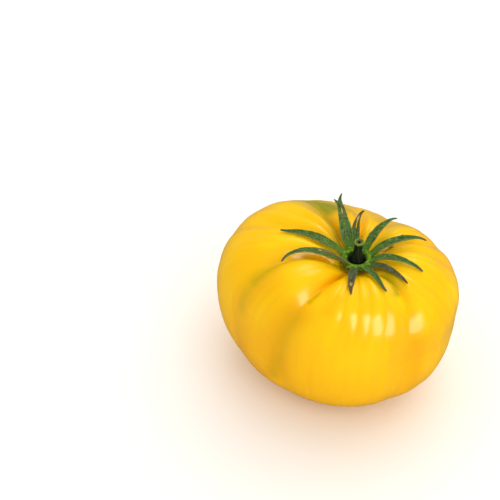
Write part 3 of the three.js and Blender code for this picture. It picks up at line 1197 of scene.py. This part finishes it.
@dataclass
class Stem:
    """The stub of stem that is left on the fruit, ribbed, leaning and cut across."""

    seat: Vector
    length: float = 9.8
    base_radius: float = 2.3
    top_radius: float = 1.85
    lean: float = 0.5
    pith_radius: float = 0.5
    pith_depth: float = 1.2
    ribs: int = 5
    rib_depth: float = 0.16
    steps: int = 60

    def build(self) -> bpy.types.Mesh:
        """Makes the stem from a turned outline, with its ribs pressed in and its top drawn aside."""
        length, top = self.length, self.top_radius
        outline = [
            (0, 0), (self.base_radius * 0.96, 0), (self.base_radius, length * 0.05),
            (self.base_radius * 0.94, length * 0.2), (top * 0.92, length * 0.5), (top * 0.88, length * 0.8),
            (top * 0.98, length * 0.9), (top * 1.04, length * 0.955), (top * 0.97, length * 0.995),
            (top * 0.82, length), (top * 0.68, length * 0.985), (self.pith_radius * 1.25, length * 0.975),
            (self.pith_radius, length * 0.96), (self.pith_radius * 0.75, length - self.pith_depth),
            (0, length - self.pith_depth),
        ]
        mesh = to_mesh("tomato_stem", lathe(rounded(outline, 4), self.steps))
        places = corners(mesh)
        radius = np.hypot(places[:, 0], places[:, 1])
        azimuth = np.arctan2(places[:, 1], places[:, 0])
        height = places[:, 2] / length
        ribbed = self.rib_depth * np.cos(self.ribs * azimuth + 2 * height) * (1 - eased(height, (0.75, 0.98)))
        rough = np.array([noise.noise(Vector(place) * 1.1) for place in places])
        swell = 1 + (ribbed + 0.14 * rough) / self.base_radius * eased(radius, (0.3, 1.4))
        places[:, :2] *= swell[:, None]
        places[:, 0] += self.lean * height**2
        places[:, 2] += 0.2 * np.cos(azimuth - 0.8) * eased(height, (0.8, 1))
        store(mesh, "height", height)
        store(mesh, "cut", eased(height, (0.955, 0.985)))
        store(mesh, "collar", eased(height, (0.9, 0.965)) * eased(radius, (top * 0.62, top * 0.86)))
        # Where the painted shade of the pith's pit lies.
        beside = eased(radius, (self.pith_radius * 0.9, self.pith_radius * 1.3))
        store(mesh, "pith_pit_shade", eased(height, (0.7, 0.8)) * (1 - beside))
        move(mesh, places * MM + np.array(self.seat))
        return mesh

    def dress(self) -> None:
        """Builds the stem and gives it its bark and cut end."""
        tie("tomato_stem", self.build(), StemFinish().material(), "stem")


# ---- The studio ----


@dataclass(frozen=True)
class Softbox:
    """A rectangular lamp that faces the tomato.

    It lights the tomato where diffuse is set, and is mirrored in its skin where glossy is set.
    """

    name: str
    azimuth: float
    elevation: float
    distance: float
    size: Span
    power: float
    diffuse: bool = True
    glossy: bool = True

    def build(self, target: Vector) -> None:
        """Hangs the lamp so that it faces the target."""
        lamp = bpy.data.lights.new(self.name, "AREA")
        lamp.shape = "RECTANGLE"
        lamp.size, lamp.size_y = self.size
        lamp.energy = self.power
        holder = put(self.name, lamp)
        elevation = math.radians(self.elevation)
        towards = heading(self.azimuth) * math.cos(elevation) + UP * math.sin(elevation)
        holder.matrix_world = Matrix.Translation(target + towards * self.distance) @ (
            towards.to_track_quat("Z", "Y").to_matrix().to_4x4()
        )
        holder.visible_diffuse, holder.visible_glossy = self.diffuse, self.glossy


@dataclass
class Studio:
    """A white floor, soft lamps, a white surround and the camera."""

    floor_size: float = 24.0
    floor_white: Colour = (0.95, 0.92, 0.88)
    floor_mirrored: Colour = (0.15, 0.15, 0.15)
    floor_roughness: float = 0.9
    floor_sheen: float = 0.1
    surround: float = 0.88
    reflected_surround: float = 0.17
    aim: Triple = (-0.0346, 0.0123, 0.0484)
    camera_elevation: float = 42
    camera_distance: float = 0.515
    lens: float = 90.07
    sensor: float = 36
    lamp_aim_height: float = 0.035
    lamps: tuple[Softbox, ...] = (
        Softbox("front_softbox", -60, 30, 2.1, (1.5, 2.7), 9.0, glossy=False),
        Softbox("front_gleam", -60, 30, 0.7, (0.5, 0.9), 15.0, diffuse=False),
        Softbox("overhead_softbox", 60, 62, 3.0, (3.3, 3.3), 38.5, glossy=False),
        Softbox("back_gleam", 72, 42, 0.9, (0.42, 0.42), 1.7, diffuse=False),
    )

    def floor(self) -> None:
        """Lays the floor."""
        bm = bmesh.new()
        bmesh.ops.create_grid(bm, x_segments=1, y_segments=1, size=self.floor_size / 2)
        mesh = to_mesh("studio_floor", bm)
        piece = put("studio_floor", mesh)
        graph = Graph(bpy.data.materials.new("white_paper"))
        white = graph.blend(graph.mirrored(), self.floor_white, self.floor_mirrored)
        finish = {"Roughness": self.floor_roughness, "Specular IOR Level": self.floor_sheen}
        mesh.materials.append(graph.surface({"Base Color": white, **finish}))

    def world(self) -> None:
        """Makes the white surround, which is dimmer in what the glossy skin reflects."""
        graph = Graph(bpy.data.worlds.new("white_surround"))
        ends = {"Value": graph.mirrored(), "To Min": self.surround, "To Max": self.reflected_surround}
        strength = graph.add("ShaderNodeMapRange", {}, ends).outputs[0]
        white = graph.add("ShaderNodeBackground", {}, {"Color": (1, 1, 1), "Strength": strength})
        graph.add("ShaderNodeOutputWorld", {}, {"Surface": white.outputs[0]})
        bpy.context.scene.world = graph.owner

    def camera(self) -> None:
        """Stands the camera in front of the tomato, looking down on it."""
        lens = bpy.data.cameras.new("camera")
        lens.lens, lens.sensor_width = self.lens, self.sensor
        camera = put("camera", lens)
        angle = math.radians(self.camera_elevation)
        back = Vector((0, -math.cos(angle), math.sin(angle)))
        camera.matrix_world = Matrix.Translation(Vector(self.aim) + back * self.camera_distance) @ (
            Matrix.Rotation(math.pi / 2 - angle, 4, "X")
        )
        bpy.context.scene.camera = camera

    def build(self) -> None:
        """Sets up the whole studio."""
        self.floor()
        self.world()
        self.camera()
        for lamp in self.lamps:
            lamp.build(UP * self.lamp_aim_height)
        bpy.context.scene.view_settings.view_transform = "Standard"
        log.info("studio: %d lamps", len(self.lamps))


def main() -> None:
    """Builds the tomato piece by piece, then the studio."""
    logging.basicConfig(level=logging.INFO, format="%(name)s: %(message)s")
    low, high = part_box("calyx_cup")
    axis = Vector(((low.x + high.x) / 2, (low.y + high.y) / 2, 0))
    middle = axis - Vector((*Fruit.stem_end, 0)) * MM
    skin = Fruit(middle).dress()
    Calyx(Seat(axis, high.z, skin)).dress()
    Stem(Vector((axis.x, axis.y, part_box("stem")[0].z))).dress()
    Studio().build()


if __name__ == "__main__":
    main()
